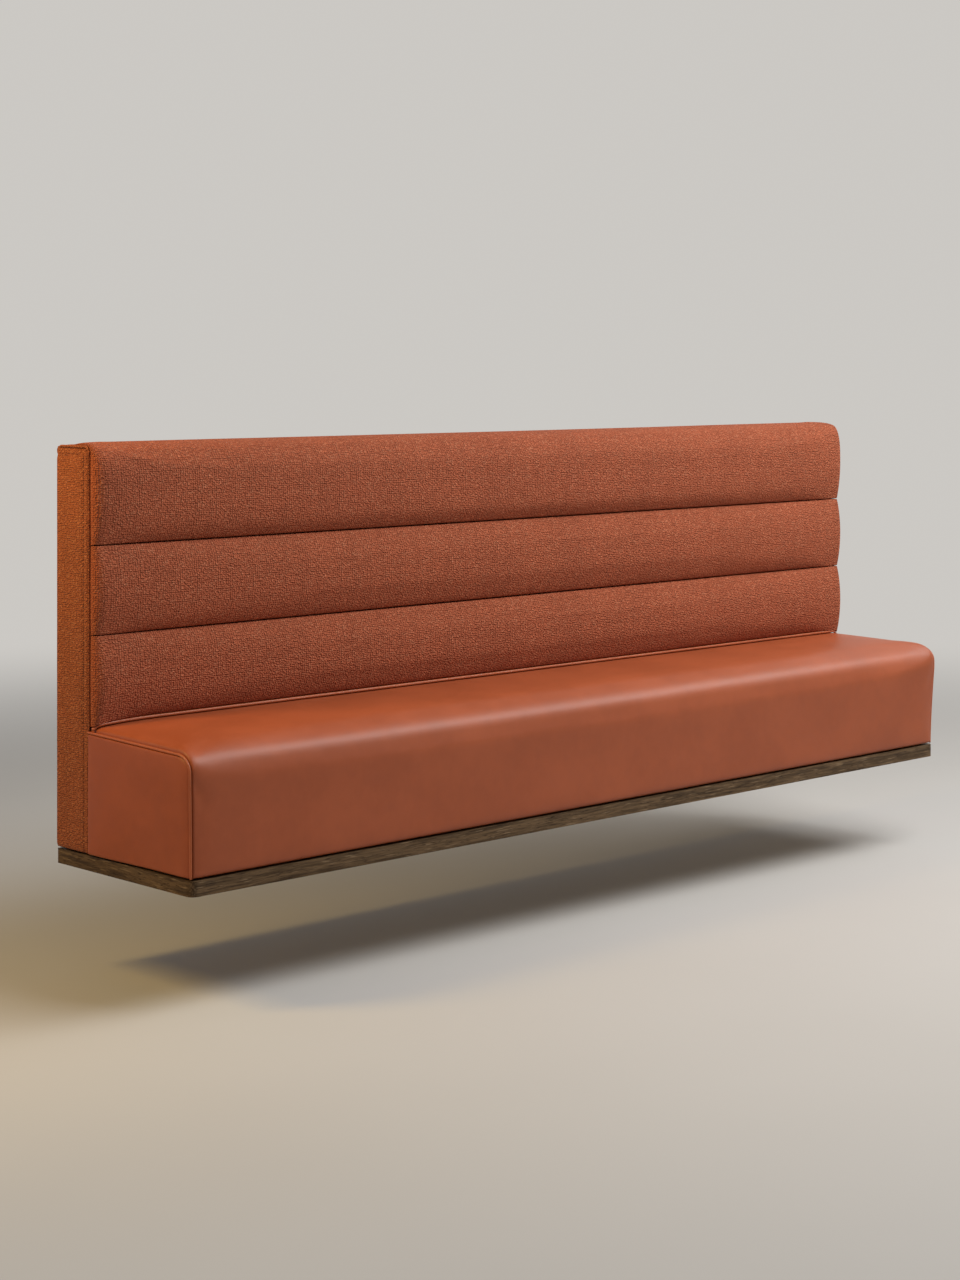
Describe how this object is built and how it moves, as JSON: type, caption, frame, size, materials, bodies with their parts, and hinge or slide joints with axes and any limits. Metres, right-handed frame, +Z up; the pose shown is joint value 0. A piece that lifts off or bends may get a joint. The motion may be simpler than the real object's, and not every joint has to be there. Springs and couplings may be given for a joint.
{
  "type": "upholstered banquette bench",
  "caption": "Wall-hung banquette bench: smooth leather seat box with a rolled front, horizontally channelled fabric back between flat cheeks, dark oak plinth with a shadow gap.",
  "frame": {"origin": "middle of the four inner wall bolt holes, on the wall plane behind the bench, half way along it", "axes": "+X along the bench's length, +Y into the wall behind it, +Z up; the wall is the plane Y = 0 and the seat faces -Y"},
  "size_m": [2.2138, 0.42, 0.791],
  "materials": {
    "oak": "dark stained oak, satin lacquer, open grain",
    "pine": "planed pine",
    "plywood": "sanded birch plywood",
    "black_board": "matt black stained board",
    "foam": "upholstery foam",
    "leather": "smooth satin leather, rust brown",
    "fabric": "nubbly woven upholstery fabric, terracotta",
    "bracket_paint": "dark grey powder coat",
    "zinc": "bright zinc plate"
  },
  "bodies": {
    "root": {"plinth_front_rail": "oak", "plinth_left_rail": "oak", "plinth_right_rail": "oak", "plinth_rear_rail": "pine", "plinth_board": "plywood", "shadow_board": "black_board", "seat_front_board": "plywood", "seat_rear_board": "plywood", "seat_left_board": "plywood", "seat_right_board": "plywood", "seat_rib_1": "plywood", "seat_rib_2": "plywood", "seat_rib_3": "plywood", "seat_rib_4": "plywood", "seat_deck": "plywood", "seat_top_foam": "foam", "seat_front_foam": "foam", "seat_left_foam": "foam", "seat_right_foam": "foam", "seat_cover": "leather", "seat_left_cover": "leather", "seat_right_cover": "leather", "seat_left_welt": "leather", "seat_right_welt": "leather", "back_left_gable": "plywood", "back_right_gable": "plywood", "back_stud_1": "pine", "back_stud_2": "pine", "back_stud_3": "pine", "back_top_rail": "pine", "back_top_board": "plywood", "back_board": "plywood", "back_lower_foam": "foam", "back_middle_foam": "foam", "back_upper_foam": "foam", "back_lower_cover": "fabric", "back_middle_cover": "fabric", "back_upper_cover": "fabric", "back_top_strip": "fabric", "left_cheek": "fabric", "right_cheek": "fabric", "back_left_welt": "fabric", "back_right_welt": "fabric", "back_piping": "leather", "wall_bracket_1": "bracket_paint", "wall_bracket_2": "bracket_paint", "wall_bracket_3": "bracket_paint", "wall_bracket_4": "bracket_paint", "wall_batten": "plywood", "back_batten": "plywood", "arm_bolts": "zinc", "plinth_screws": "zinc", "deck_screws": "zinc", "back_board_screws": "zinc", "batten_screws": "zinc"}
  },
  "joints": []
}
